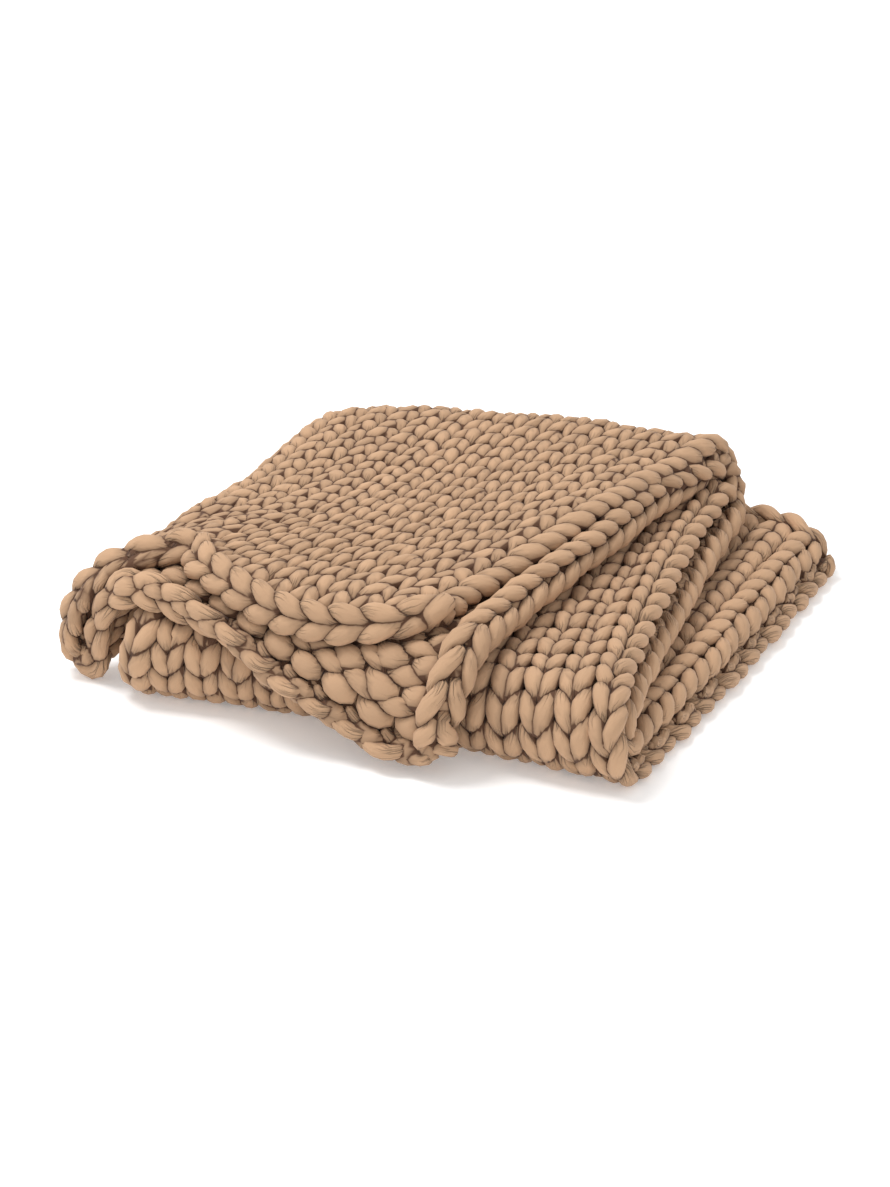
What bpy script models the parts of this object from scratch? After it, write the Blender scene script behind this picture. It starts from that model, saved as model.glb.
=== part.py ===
"""A chunky hand-knitted weighted blanket, folded up on a flat surface.

The blanket is one knitted cloth.  It is folded in half across its width, which
makes a strip of two plies (A and B) joined along a fold on the left.  The strip
is then laid back and forth in three layers: the low layer on the floor, the
middle layer over it, and the top layer over both.  The back fold joins the top
and middle layers, the front fold the middle and low ones.  At the bound-off end
ply B runs on past ply A and hangs over the front fold to the floor, and on the
left the two plies part in an open loop.

Metres, +Z up, +X along the front fold, +Y away from it.
"""

import math
from collections import namedtuple

import bpy
import numpy as np

# ---- Sizes of the cloth ----------------------------------------------------
THICKNESS = 0.028            # of the knitted cloth, under its own weight
PLY_PITCH = 0.034            # middle of one ply to the middle of the next
FLOOR_PLY = 0.016            # middle of the lowest ply above the floor
FLAT_BELOW = 0.006           # an underside lower than this is pressed flat
EDGE_BULGE = 0.006           # how far the rounded edge stands out

# ---- Heights ---------------------------------------------------------------
HALF_PITCH = PLY_PITCH / 2
LOW_Z = FLOOR_PLY + HALF_PITCH           # between the two plies of each layer
MIDDLE_Z = LOW_Z + 2 * PLY_PITCH
TOP_Z = MIDDLE_Z + 2 * PLY_PITCH
FRONT_FOLD_Z = (LOW_Z + MIDDLE_Z) / 2    # centres of the two folds
BACK_FOLD_Z = (MIDDLE_Z + TOP_Z) / 2
FOLD_RADIUS = PLY_PITCH                  # of the strip's middle
SHOULDER_B = TOP_Z - HALF_PITCH - FRONT_FOLD_Z    # ply B's radius over the front fold
SHOULDER_A = SHOULDER_B + PLY_PITCH               # ply A's

# ---- Plan: where the layers start, fold and end ----------------------------
Point = namedtuple("Point", "x y")
TOP_FRONT_LINE = [Point(-0.46, -0.232), Point(-0.14, -0.232), Point(0.20, -0.232)]
BACK_FOLD_LINE = [Point(-0.320, 0.234), Point(-0.270, 0.284), Point(-0.190, 0.328),
                  Point(-0.040, 0.350), Point(0.120, 0.370), Point(0.340, 0.396)]
FRONT_FOLD_LINE = [Point(-0.360, -0.238), Point(-0.170, -0.217), Point(0.080, -0.226),
                   Point(0.380, -0.247)]
LOW_END_LINE = [Point(-0.310, 0.330), Point(-0.060, 0.400), Point(0.180, 0.442),
                Point(0.330, 0.448), Point(0.450, 0.380)]

# A layer's two ends: the fold on the left and each ply's selvedge on the right.
# The bows are how far each selvedge bends out in the middle of its layer.
Layer = namedtuple("Layer", "left_start left_end a_start a_end b_start b_end bow_a bow_b")
TOP = Layer(-0.340, -0.295, 0.107, 0.264, 0.168, 0.270, 0.000, 0.000)
MIDDLE = Layer(-0.290, -0.318, 0.302, 0.350, 0.286, 0.340, -0.010, -0.018)
LOW = Layer(-0.348, -0.300, 0.354, 0.408, 0.365, 0.420, 0.004, 0.006)

TOP_LENGTH = 0.58            # of the top layer, from its front line to the back fold

# ---- The bound-off end -----------------------------------------------------
# How far each ply runs on past the top front line, across the blanket.
Overrun = namedtuple("Overrun", "x ply_a ply_b")
OVERRUNS = [
    Overrun(-0.445, 0.000, 0.000),
    Overrun(-0.375, -0.012, 0.014),
    Overrun(-0.310, -0.036, 0.026),
    Overrun(-0.245, 0.002, 0.044),
    Overrun(-0.170, 0.040, 0.070),
    Overrun(-0.080, 0.066, 0.112),
    Overrun(0.005, 0.062, 0.146),
    Overrun(0.060, 0.036, 0.176),
    Overrun(0.105, -0.032, 0.180),
    Overrun(0.175, -0.040, 0.162),
]
HANG_LEAN = -0.20            # sideways for each metre that the cloth hangs
HANG_FLARE = 0.30            # outwards, below the fold's middle

# The open loop at the front left, in the plane across the cloth: at the front
# line, and where it has half closed.
LoopPoint = namedtuple("LoopPoint", "x z")
FRONT_LOOP_A = [LoopPoint(-0.445, 0.060), LoopPoint(-0.434, 0.096), LoopPoint(-0.413, 0.128),
                LoopPoint(-0.382, 0.154), LoopPoint(-0.342, 0.172), LoopPoint(-0.300, 0.182),
                LoopPoint(-0.250, 0.186)]
FRONT_LOOP_B = [LoopPoint(-0.445, 0.060), LoopPoint(-0.442, 0.036), LoopPoint(-0.427, 0.020),
                LoopPoint(-0.406, 0.024), LoopPoint(-0.394, 0.050), LoopPoint(-0.386, 0.088),
                LoopPoint(-0.366, 0.124), LoopPoint(-0.328, 0.145), LoopPoint(-0.270, 0.152)]
BACK_LOOP_A = [LoopPoint(-0.392, 0.108), LoopPoint(-0.384, 0.130), LoopPoint(-0.365, 0.149),
               LoopPoint(-0.337, 0.165), LoopPoint(-0.300, 0.178), LoopPoint(-0.250, 0.186)]
BACK_LOOP_B = [LoopPoint(-0.392, 0.108), LoopPoint(-0.388, 0.093), LoopPoint(-0.371, 0.086),
               LoopPoint(-0.355, 0.100), LoopPoint(-0.344, 0.126), LoopPoint(-0.320, 0.146),
               LoopPoint(-0.280, 0.152)]
# along: share of the top layer from the front line
Loop = namedtuple("Loop", "along ply_a ply_b")
LOOPS = [Loop(0.00, FRONT_LOOP_A, FRONT_LOOP_B), Loop(0.13, BACK_LOOP_A, BACK_LOOP_B)]
LOOP_END = 0.30

# The layers lie unevenly, the higher the more.
Wave = namedtuple("Wave", "rise per_x per_y start")
WAVES = [Wave(0.004, 8.0, 6.0, -0.9), Wave(0.003, -7.0, 14.0, 2.1), Wave(0.002, 21.0, 9.0, 4.0)]
SWAY = Wave(0.005, 0.0, 13.0, 0.8)
WAVE_TOP = 0.19              # height at which the waves have their full rise

# The middle layer's selvedge stands up as a ridge.
RIDGE_LIFT = 0.009
RIDGE_INSET = 0.028
RIDGE_WIDTH = 0.024

# ---- How finely the solid is cut -------------------------------------------
FRONT_PART = 0.32            # share of the top layer drawn with the bound-off end
ROWS = {"front": 15, "top": 6, "back": 8, "middle": 7, "turn": 8, "low": 7}
SHARES = [0.0, 0.02, 0.04, 0.065, 0.095, 0.13, 0.17, 0.21, 0.26, 0.31, 0.37, 0.44,
          0.52, 0.60, 0.68, 0.76, 0.84, 0.91, 0.96, 1.0]
PLY_A = 1
PLY_B = -1

CLOTH_COLOUR = (0.56, 0.36, 0.23, 1.0)


def curve(points, x, column=1):
    """Smooth reading of a short table at x, through every row."""
    table = np.array(points, float)
    knots = table[:, 0]
    values = table[:, column]
    slopes = np.gradient(values, knots)
    x = min(max(x, knots[0]), knots[-1])
    row = min(int(np.searchsorted(knots, x, side="right")) - 1, len(knots) - 2)
    width = knots[row + 1] - knots[row]
    t = (x - knots[row]) / width
    start = (2 * t**3 - 3 * t**2 + 1) * values[row]
    end = (3 * t**2 - 2 * t**3) * values[row + 1]
    start_slope = (t**3 - 2 * t**2 + t) * width * slopes[row]
    end_slope = (t**3 - t**2) * width * slopes[row + 1]
    return float(start + end + start_slope + end_slope)


def rounded(points, steps=10):
    """A fine Catmull-Rom line through a table's points."""
    table = np.array(points, float)
    ends = np.vstack([table[:1], table, table[-1:]])
    line = []
    for p0, p1, p2, p3 in zip(ends, ends[1:], ends[2:], ends[3:]):
        for t in np.linspace(0, 1, steps, endpoint=False):
            line.append(0.5 * (2 * p1 + (p2 - p0) * t + (2 * p0 - 5 * p1 + 4 * p2 - p3) * t**2
                               + (3 * p1 - p0 - 3 * p2 + p3) * t**3))
    line.append(table[-1])
    return np.array(line)


def distances(path):
    """Length along a path to each of its points."""
    steps = np.linalg.norm(np.diff(path, axis=0), axis=1)
    return np.concatenate([[0.0], np.cumsum(steps)])


def evenly(path, count):
    """The same path with count points, evenly apart."""
    along = distances(path)
    wanted = np.linspace(0, along[-1], count)
    return np.stack([np.interp(wanted, along, path[:, k]) for k in range(3)], axis=1)


def fold_section(share, left, right, ply):
    """Place of a column in a layer's cross-section: x, and height over its middle."""
    quarter = math.pi / 2 * HALF_PITCH
    arc = share * (quarter + right - left - HALF_PITCH)
    if arc < quarter:
        angle = arc / HALF_PITCH
        return left + HALF_PITCH * (1 - math.cos(angle)), ply * HALF_PITCH * math.sin(angle)
    return left + HALF_PITCH + arc - quarter, ply * HALF_PITCH


def loop_section(share, right, ply, loop):
    """The same for the open loop at the bound-off end."""
    line = rounded(loop.ply_a if ply == PLY_A else loop.ply_b)
    along = distances(line)
    arc = share * (along[-1] + right - line[-1][0])
    if arc > along[-1]:
        return line[-1][0] + arc - along[-1], line[-1][1] - TOP_Z
    return float(np.interp(arc, along, line[:, 0])), float(np.interp(arc, along, line[:, 1])) - TOP_Z


def layer_ends(layer, share, ply):
    """A column's cross-section at the start and the end of a layer."""
    start = fold_section(share, layer.left_start, layer.a_start if ply == PLY_A else layer.b_start, ply)
    end = fold_section(share, layer.left_end, layer.a_end if ply == PLY_A else layer.b_end, ply)
    bow = layer.bow_a if ply == PLY_A else layer.bow_b
    return start, end, bow * share**3


def ridge(share, ply, from_edge):
    """Lift of the middle layer's upper ply beside its selvedge."""
    if ply == PLY_A:
        return 0.0
    return RIDGE_LIFT * math.exp(-((from_edge - RIDGE_INSET) / RIDGE_WIDTH) ** 2) * share


def top_columns(share, ply):
    """A column's cross-sections in the top layer, and the loop's offsets from them."""
    start, end, bow = layer_ends(TOP, share, ply)
    right = TOP.a_start if ply == PLY_A else TOP.b_start
    sideways, upwards = [], []
    for loop in LOOPS:
        x, h = loop_section(share, right, ply, loop)
        sideways.append((loop.along, x - start[0]))
        upwards.append((loop.along, h - start[1]))
    closed = [(LOOP_END, 0.0), (1.0, 0.0)]
    return start, end, bow, sideways + closed, upwards + closed


def top_point(columns, along):
    """A point of the top layer, along = 0 at its front line and 1 at the back fold."""
    (x0, h0), (x1, h1), bow, sideways, upwards = columns
    x = x0 + (x1 - x0) * along + bow * math.sin(math.pi * along)
    height = h0 + (h1 - h0) * along
    if along < LOOP_END:
        x += curve(sideways, along)
        height += curve(upwards, along)
    y0 = curve(TOP_FRONT_LINE, x0)
    y1 = curve(BACK_FOLD_LINE, x1)
    return x, y0 + (y1 - y0) * along, TOP_Z + height


def over_shoulder(radius, run):
    """How far cloth that runs on over the front fold goes forwards and down."""
    quarter = radius * math.pi / 2
    if run <= quarter:
        return radius * math.sin(run / radius), radius * (1 - math.cos(run / radius))
    return radius + HANG_FLARE * max(0.0, run - quarter - 0.01), radius + run - quarter


def front_part(share, ply, steps=40):
    """The bound-off end of a column, up to the plain part of the top layer."""
    columns = top_columns(share, ply)
    x, y, z = top_point(columns, 0.0)
    run = curve(OVERRUNS, x, 1 if ply == PLY_A else 2)
    radius = SHOULDER_A if ply == PLY_A else SHOULDER_B
    flat_z = TOP_Z + ply * HALF_PITCH
    hang = 1 - min(1.0, max(0.0, (flat_z - z) / 0.05))
    path = []
    if run > 0:
        for step in np.linspace(run, 0.0, steps)[:-1]:
            forwards, down = over_shoulder(radius, step)
            forwards = forwards * hang + step * (1 - hang)
            path.append((x + HANG_LEAN * step, y - forwards, z - down * hang))
    short = max(0.0, -run) / TOP_LENGTH
    for along in np.linspace(short, FRONT_PART, steps):
        path.append(top_point(columns, along))
    return np.array(path)


def top_part(share, ply, steps=20):
    columns = top_columns(share, ply)
    return np.array([top_point(columns, along) for along in np.linspace(FRONT_PART, 1.0, steps)])


def fold_part(share, ply, before, after, line, centre_z, forwards, steps=30):
    """A column's half turn about a fold line."""
    (_, _), (x0, h0), _ = layer_ends(before, share, ply)
    (x1, h1), (_, _), _ = layer_ends(after, share, ply)
    path = []
    for turn in np.linspace(0, 1, steps):
        angle = math.pi * (0.5 - turn)
        x = x0 + (x1 - x0) * turn
        height = h0 + (h1 - h0) * turn
        radius = FOLD_RADIUS + (height if forwards < 0 else -height)
        y = curve(line, x) - forwards * radius * math.cos(angle)
        path.append((x, y, centre_z + radius * math.sin(angle)))
    return np.array(path)


def flat_part(share, ply, layer, start_line, end_line, layer_z, up, steps=20):
    """A column's run through the middle or the low layer."""
    (x0, h0), (x1, h1), bow = layer_ends(layer, share, ply)
    path = []
    for along in np.linspace(0, 1, steps):
        x = x0 + (x1 - x0) * along + bow * math.sin(math.pi * along)
        y = curve(start_line, x0) * (1 - along) + curve(end_line, x1) * along
        z = layer_z + up * (h0 + (h1 - h0) * along)
        if layer is MIDDLE:
            right = layer.b_start + (layer.b_end - layer.b_start) * along
            z += ridge(share, ply, right - x + bow * math.sin(math.pi * along))
        path.append((x, y, z))
    return np.array(path)


def column(share, ply):
    """One column of the cloth, bound-off end first, as its six parts."""
    return {
        "front": front_part(share, ply),
        "top": top_part(share, ply),
        "back": fold_part(share, ply, TOP, MIDDLE, BACK_FOLD_LINE, BACK_FOLD_Z, -1),
        "middle": flat_part(share, ply, MIDDLE, BACK_FOLD_LINE, FRONT_FOLD_LINE, MIDDLE_Z, -1),
        "turn": fold_part(share, ply, MIDDLE, LOW, FRONT_FOLD_LINE, FRONT_FOLD_Z, 1),
        "low": flat_part(share, ply, LOW, FRONT_FOLD_LINE, LOW_END_LINE, LOW_Z, 1),
    }


def uneven(path):
    """The path with the slight waves of the layers under it."""
    x, y, z = path.T
    share = np.clip(z / WAVE_TOP, 0, 1)
    rise = sum(w.rise * np.sin(w.per_x * x + w.per_y * y + w.start) for w in WAVES)
    sway = SWAY.rise * np.sin(SWAY.per_y * y + SWAY.start)
    return np.stack([x + sway * share, y, z + rise * share], axis=1)


def middle_surface():
    """Grid of points on the cloth's middle: columns from B's selvedge round to A's."""
    sides = [(share, PLY_B) for share in reversed(SHARES)] + [(share, PLY_A) for share in SHARES[1:]]
    columns = []
    for share, ply in sides:
        parts = column(share, ply)
        rows = [evenly(parts[name], count + 1)[:-1] for name, count in ROWS.items()]
        rows.append(parts["low"][-1:])
        columns.append(uneven(np.vstack(rows)))
    return np.array(columns)


def normals_of(grid):
    """Unit normals of a grid of points, on ply A's outer side."""
    across = np.gradient(grid, axis=0)
    along = np.gradient(grid, axis=1)
    normals = np.cross(across, along)
    return normals / np.linalg.norm(normals, axis=2, keepdims=True)


def edge_directions(grid):
    """Unit directions in which the cloth's edge faces, zero inside."""
    out = np.zeros_like(grid)
    out[0] += grid[0] - grid[1]
    out[-1] += grid[-1] - grid[-2]
    out[:, 0] += grid[:, 0] - grid[:, 1]
    out[:, -1] += grid[:, -1] - grid[:, -2]
    length = np.linalg.norm(out, axis=2, keepdims=True)
    return np.divide(out, length, out=np.zeros_like(out), where=length > 0)


def pressed_flat(points):
    """The underside rests on the floor."""
    flat = points.copy()
    flat[..., 2] = np.where(flat[..., 2] < FLAT_BELOW, 0.0, flat[..., 2])
    return flat


def border_loop(columns, rows):
    """Grid places round the cloth's edge, in order."""
    loop = [(c, 0) for c in range(columns)]
    loop += [(columns - 1, r) for r in range(1, rows)]
    loop += [(c, rows - 1) for c in range(columns - 2, -1, -1)]
    loop += [(0, r) for r in range(rows - 2, 0, -1)]
    return loop


def thick_sheet(name, grid):
    """A closed solid of the cloth's thickness about its middle surface."""
    columns, rows, _ = grid.shape
    offset = normals_of(grid) * THICKNESS / 2
    upper = pressed_flat(grid + offset).reshape(-1, 3)
    lower = pressed_flat(grid - offset).reshape(-1, 3)
    loop = border_loop(columns, rows)
    bulge = edge_directions(grid) * EDGE_BULGE
    rim = np.array([grid[c, r] + bulge[c, r] for c, r in loop])
    rim[:, 2] = np.maximum(rim[:, 2], THICKNESS / 4)
    points = np.vstack([upper, lower, rim])
    under = columns * rows
    rim_start = 2 * under

    faces = []
    for c in range(columns - 1):
        for r in range(rows - 1):
            here = c * rows + r
            beyond = here + rows
            faces.append((here, beyond, beyond + 1, here + 1))
            faces.append((under + here, under + here + 1, under + beyond + 1, under + beyond))
    for i, (c, r) in enumerate(loop):
        j = (i + 1) % len(loop)
        c_next, r_next = loop[j]
        here = c * rows + r
        beyond = c_next * rows + r_next
        faces.append((here, rim_start + i, rim_start + j, beyond))
        faces.append((rim_start + i, under + here, under + beyond, rim_start + j))

    mesh = bpy.data.meshes.new(name)
    mesh.from_pydata([tuple(p) for p in points], [], faces)
    mesh.update()
    return mesh


def cloth_material():
    material = bpy.data.materials.new("jersey_tube")
    material.use_nodes = True
    shader = material.node_tree.nodes["Principled BSDF"]
    shader.inputs["Base Color"].default_value = CLOTH_COLOUR
    shader.inputs["Roughness"].default_value = 0.9
    shader.inputs["Metallic"].default_value = 0.0
    return material


def place_on_origin(mesh):
    """Moves the mesh so that the origin is below the middle of its box."""
    points = np.array([v.co[:] for v in mesh.vertices])
    low = points.min(axis=0)
    high = points.max(axis=0)
    middle = (low + high) / 2
    for vertex in mesh.vertices:
        vertex.co.x -= middle[0]
        vertex.co.y -= middle[1]
        vertex.co.z -= low[2]


def main():
    for item in list(bpy.data.objects):
        bpy.data.objects.remove(item, do_unlink=True)
    mesh = thick_sheet("blanket", middle_surface())
    place_on_origin(mesh)
    mesh.materials.append(cloth_material())
    mesh.shade_smooth()
    bpy.context.collection.objects.link(bpy.data.objects.new("blanket", mesh))


main()
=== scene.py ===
"""A chunky hand-knitted weighted blanket, folded up on a pale floor.

Every stitch is a loop of one stuffed yarn on the folded cloth's middle surface.
Metres, +Z up.
"""

import math
from collections import namedtuple

import bpy
import numpy as np
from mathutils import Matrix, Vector
from mathutils.bvhtree import BVHTree


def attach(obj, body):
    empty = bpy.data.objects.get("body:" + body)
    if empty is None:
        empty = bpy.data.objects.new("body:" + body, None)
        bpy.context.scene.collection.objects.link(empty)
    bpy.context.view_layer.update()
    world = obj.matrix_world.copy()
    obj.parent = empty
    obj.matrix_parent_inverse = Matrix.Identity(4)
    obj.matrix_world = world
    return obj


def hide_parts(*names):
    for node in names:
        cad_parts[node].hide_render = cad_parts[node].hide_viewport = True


# The folded shape has the same tables as the solid's.

# ---- Heights ---------------------------------------------------------------
PLY_PITCH = 0.034            # middle of one ply to the middle of the next
FLOOR_PLY = 0.016            # middle of the lowest ply above the floor
HALF_PITCH = PLY_PITCH / 2
LOW_Z = FLOOR_PLY + HALF_PITCH           # between the two plies of each layer
MIDDLE_Z = LOW_Z + 2 * PLY_PITCH
TOP_Z = MIDDLE_Z + 2 * PLY_PITCH
FRONT_FOLD_Z = (LOW_Z + MIDDLE_Z) / 2    # centres of the two folds
BACK_FOLD_Z = (MIDDLE_Z + TOP_Z) / 2
FOLD_RADIUS = PLY_PITCH                  # of the strip's middle
SHOULDER_B = TOP_Z - HALF_PITCH - FRONT_FOLD_Z    # ply B's radius over the front fold
SHOULDER_A = SHOULDER_B + PLY_PITCH               # ply A's

# ---- Plan: where the layers start, fold and end ----------------------------
Point = namedtuple("Point", "x y")
TOP_FRONT_LINE = [Point(-0.46, -0.232), Point(-0.14, -0.232), Point(0.20, -0.232)]
BACK_FOLD_LINE = [Point(-0.320, 0.234), Point(-0.270, 0.284), Point(-0.190, 0.328),
                  Point(-0.040, 0.350), Point(0.120, 0.370), Point(0.340, 0.396)]
FRONT_FOLD_LINE = [Point(-0.360, -0.238), Point(-0.170, -0.217), Point(0.080, -0.226),
                   Point(0.380, -0.247)]
LOW_END_LINE = [Point(-0.310, 0.330), Point(-0.060, 0.400), Point(0.180, 0.442),
                Point(0.330, 0.448), Point(0.450, 0.380)]

# A layer's two ends: the fold on the left and each ply's selvedge on the right.
# The bows are how far each selvedge bends out in the middle of its layer.
Layer = namedtuple("Layer", "left_start left_end a_start a_end b_start b_end bow_a bow_b")
TOP = Layer(-0.340, -0.295, 0.107, 0.264, 0.168, 0.270, 0.000, 0.000)
MIDDLE = Layer(-0.290, -0.318, 0.302, 0.350, 0.286, 0.340, -0.010, -0.018)
LOW = Layer(-0.348, -0.300, 0.354, 0.408, 0.365, 0.420, 0.004, 0.006)

TOP_LENGTH = 0.58            # of the top layer, from its front line to the back fold

# ---- The bound-off end -----------------------------------------------------
# How far each ply runs on past the top front line, across the blanket.
Overrun = namedtuple("Overrun", "x ply_a ply_b")
OVERRUNS = [
    Overrun(-0.445, 0.000, 0.000),
    Overrun(-0.375, -0.012, 0.014),
    Overrun(-0.310, -0.036, 0.026),
    Overrun(-0.245, 0.002, 0.044),
    Overrun(-0.170, 0.040, 0.070),
    Overrun(-0.080, 0.066, 0.112),
    Overrun(0.005, 0.062, 0.146),
    Overrun(0.060, 0.036, 0.176),
    Overrun(0.105, -0.032, 0.180),
    Overrun(0.175, -0.040, 0.162),
]
HANG_LEAN = -0.20            # sideways for each metre that the cloth hangs
HANG_FLARE = 0.30            # outwards, below the fold's middle
FLARE_START = 0.01           # how far below it the flare starts
HANG_FADE = 0.05             # drop of the open loop over which the cloth stops hanging

# The open loop at the front left, in the plane across the cloth: at the front
# line, and where it has half closed.
LoopPoint = namedtuple("LoopPoint", "x z")
FRONT_LOOP_A = [LoopPoint(-0.445, 0.060), LoopPoint(-0.434, 0.096), LoopPoint(-0.413, 0.128),
                LoopPoint(-0.382, 0.154), LoopPoint(-0.342, 0.172), LoopPoint(-0.300, 0.182),
                LoopPoint(-0.250, 0.186)]
FRONT_LOOP_B = [LoopPoint(-0.445, 0.060), LoopPoint(-0.442, 0.036), LoopPoint(-0.427, 0.020),
                LoopPoint(-0.406, 0.024), LoopPoint(-0.394, 0.050), LoopPoint(-0.386, 0.088),
                LoopPoint(-0.366, 0.124), LoopPoint(-0.328, 0.145), LoopPoint(-0.270, 0.152)]
BACK_LOOP_A = [LoopPoint(-0.392, 0.108), LoopPoint(-0.384, 0.130), LoopPoint(-0.365, 0.149),
               LoopPoint(-0.337, 0.165), LoopPoint(-0.300, 0.178), LoopPoint(-0.250, 0.186)]
BACK_LOOP_B = [LoopPoint(-0.392, 0.108), LoopPoint(-0.388, 0.093), LoopPoint(-0.371, 0.086),
               LoopPoint(-0.355, 0.100), LoopPoint(-0.344, 0.126), LoopPoint(-0.320, 0.146),
               LoopPoint(-0.280, 0.152)]
# along: share of the top layer from the front line
Loop = namedtuple("Loop", "along ply_a ply_b")
LOOPS = [Loop(0.00, FRONT_LOOP_A, FRONT_LOOP_B), Loop(0.13, BACK_LOOP_A, BACK_LOOP_B)]
LOOP_END = 0.30              # share at which it has closed
FRONT_PART = 0.32            # share of the top layer drawn with the bound-off end

# The layers lie unevenly, the higher the more.
Wave = namedtuple("Wave", "rise per_x per_y start")
WAVES = [Wave(0.004, 8.0, 6.0, -0.9), Wave(0.003, -7.0, 14.0, 2.1),
         Wave(0.002, 21.0, 9.0, 4.0)]
SWAY = Wave(0.005, 0.0, 13.0, 0.8)
WAVE_TOP = 0.19              # height at which the waves have their full rise

# The middle layer's selvedge stands up as a ridge.
RIDGE_LIFT = 0.009
RIDGE_INSET = 0.028
RIDGE_WIDTH = 0.024

PLY_A = 1
PLY_B = -1
ORIGIN_SHIFT = (0.01721967, -0.05928503, 0.0)    # puts the solid's box on the origin

# ---- The knitting ----------------------------------------------------------
WALES = 30                   # columns of stitches, ply B's selvedge to ply A's
COURSES = 60                 # rows of stitches, bound-off end to cast-on end
GRID_COLUMNS = 240           # of the grid of points on the cloth's middle
GRID_ROWS = 360
SMOOTH_ALONG = 3             # times that the grid is smoothed along the columns
SMOOTH_ACROSS = 6            # and across them

# How the selvedges roll over towards the purl side; the last CURL_STEPS of the grid
# take part.  start is how far into them the roll begins, radius how tight it is,
# stretch how much longer they become, and shift how far they move outwards.
CURL_STEPS = 8
SHIFTED_STEPS = 24           # of the grid, next to the roll, over which the move fades
SHIFT_FADE = 1.5             # power of that
Roll = namedtuple("Roll", "course start_b radius_b stretch_b shift_b start_a radius_a")
ROLLS = [
    Roll(0, 0.000, 0.0110, 1.15, 0.024, 0.020, 0.0115),
    Roll(4, 0.000, 0.0110, 1.15, 0.018, 0.020, 0.0115),
    Roll(8, 0.000, 0.0110, 1.15, 0.006, 0.020, 0.0115),
    Roll(17, 0.000, 0.0110, 1.15, 0.003, 0.020, 0.0115),
    Roll(22, 0.018, 0.0100, 1.00, 0.000, 0.018, 0.0105),
    Roll(38, 0.018, 0.0100, 1.00, 0.000, 0.018, 0.0105),
    Roll(42, 0.034, 0.0115, 1.00, 0.000, 0.022, 0.0125),
    Roll(60, 0.034, 0.0115, 1.00, 0.000, 0.022, 0.0125),
]

# The knitting stays a little inside the cloth's bound-off edge (courses).
BOUND_OFF_IN = 0.40
BOUND_OFF_FADE = 4.0
MARGIN = 10                  # steps by which the grid is carried on past its edges

# ---- The stitches ----------------------------------------------------------
LOOP_REACH = 0.87            # of a loop's head and foot, in courses
LOOP_STEEP = 0.06            # of that, what makes the legs steeper and the heads flatter
LOOP_SPREAD = 0.265          # sideways, in wales
LOOP_PAIR = 0.045            # wales that each leg of a loop stands nearer to the other
LOOP_RELIEF = 0.0085         # of the legs in front of the heads and feet
YARN_WIDE = 0.0121           # half width of the flattened yarn at a leg's middle
YARN_THICK = 0.0104          # half thickness
YARN_EVEN = 0.55             # share of the thickness that a pinch leaves as it is
YARN_PINCH = 0.29            # share of the width lost between leg and head
PINCH_POWER = 1.5
HEAD_SIZE = 1.22             # of the round heads, which face the purl side
FOOT_SIZE = 0.95             # of the feet between them
USUAL_WALE = 0.040           # wale width at which the yarn has its usual width
WALE_RANGE = (0.8, 1.35)     # widths, in usual ones, within which the yarn follows the wale
WALE_POWER = 0.7
EDGE_FADE = 0.2              # wales, next to a selvedge's own leg
EDGE_STRAIGHT = 0.15         # how much that leg straightens
EDGE_SMALLER_A = 0.06        # how much smaller it is at ply A's selvedge
EDGE_SMALLER_B = 0.10        # and at ply B's
EDGE_SHORT = 0.30            # how much less the first course's heads reach there
RUN_ENDS = (0.40, 0.85)      # sizes of the last rings of a course, which round it off

# The yarn's turn from one course into the next, foot to foot: courses and wales
# from the first foot and the selvedge, and share of the relief.
TurnKnot = namedtuple("TurnKnot", "course wale relief")
TURN_KNOTS = [TurnKnot(0.0, -0.04, 1.0), TurnKnot(-0.12, -0.10, 0.8), TurnKnot(-0.5, -0.14, 0.5),
              TurnKnot(-0.88, -0.10, 0.8), TurnKnot(-1.0, -0.04, 1.0)]
TURN_STEPS = 5               # from one of them to the next
TURN_NARROWER = 0.15         # in its middle
TURN_THICK = 0.85
TURN_THINNER = 0.10

# How much the stitches differ from one another; one draw for each of their legs.
SEED = 11
SPREADS = {
    "spread": 0.08,          # of LOOP_SPREAD
    "reach": 0.04,           # of LOOP_REACH
    "aside": 0.028,          # wales
    "ahead": 0.040,          # courses
    "lift": 0.0011,
    "size": 0.055,           # of the yarn's width
    "roll": 0.20,            # radians
    "tone": 0.030,
}
SPREAD_LIMIT = 2             # times that, at most

FINE = (11, 22)              # sides and segments of a stitch that shows
PLAIN = (6, 12)              # of one inside the pile
ROWS_PER_PIECE = 8

# Lines of sight that tell whether a stitch shows
SIGHT_LINES = 60
SIGHT_START = 0.02           # from the cloth's middle, on either side
SIGHT_REACH = 3.0

# ---- The chain of the bound-off end ------------------------------------------
CHAIN_HALF = 0.0100          # of its width, yarn middle to yarn middle
CHAIN_REACH = 0.86           # of a link's head and foot, in wales
CHAIN_ENDS = (0.90, 29.70)   # wales
CHAIN_RELIEF = 0.0075
CHAIN_HEADS = 0.45           # of that, how much the heads lie above the feet
CHAIN_SLANT = 0.85           # of a link's legs, from its outer side in to the next link's middle
LINK_STEPS = 29
LINK_WIDE = 0.0138           # half width of the yarn at a leg's middle
LINK_THICK = 0.0106
LINK_WIDE_ENDS = 0.40        # shares of these at the head and the foot
LINK_THICK_ENDS = 0.80
LINK_TONE = 0.3              # of a wale on, where a link takes its tone

# Where the chain's middle is (wale, course), and how far its face turns from the
# knit side outwards (degrees)
ChainTurn = namedtuple("ChainTurn", "wale course degrees")
CHAIN_TURNS = [
    ChainTurn(0, -0.12, 70),
    ChainTurn(6, -0.12, 75),
    ChainTurn(10, -0.20, 122),
    ChainTurn(12, -0.12, 122),
    ChainTurn(18, -0.12, 48),
    ChainTurn(21, -0.22, 48),
    ChainTurn(30, -0.22, 48),
]

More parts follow.
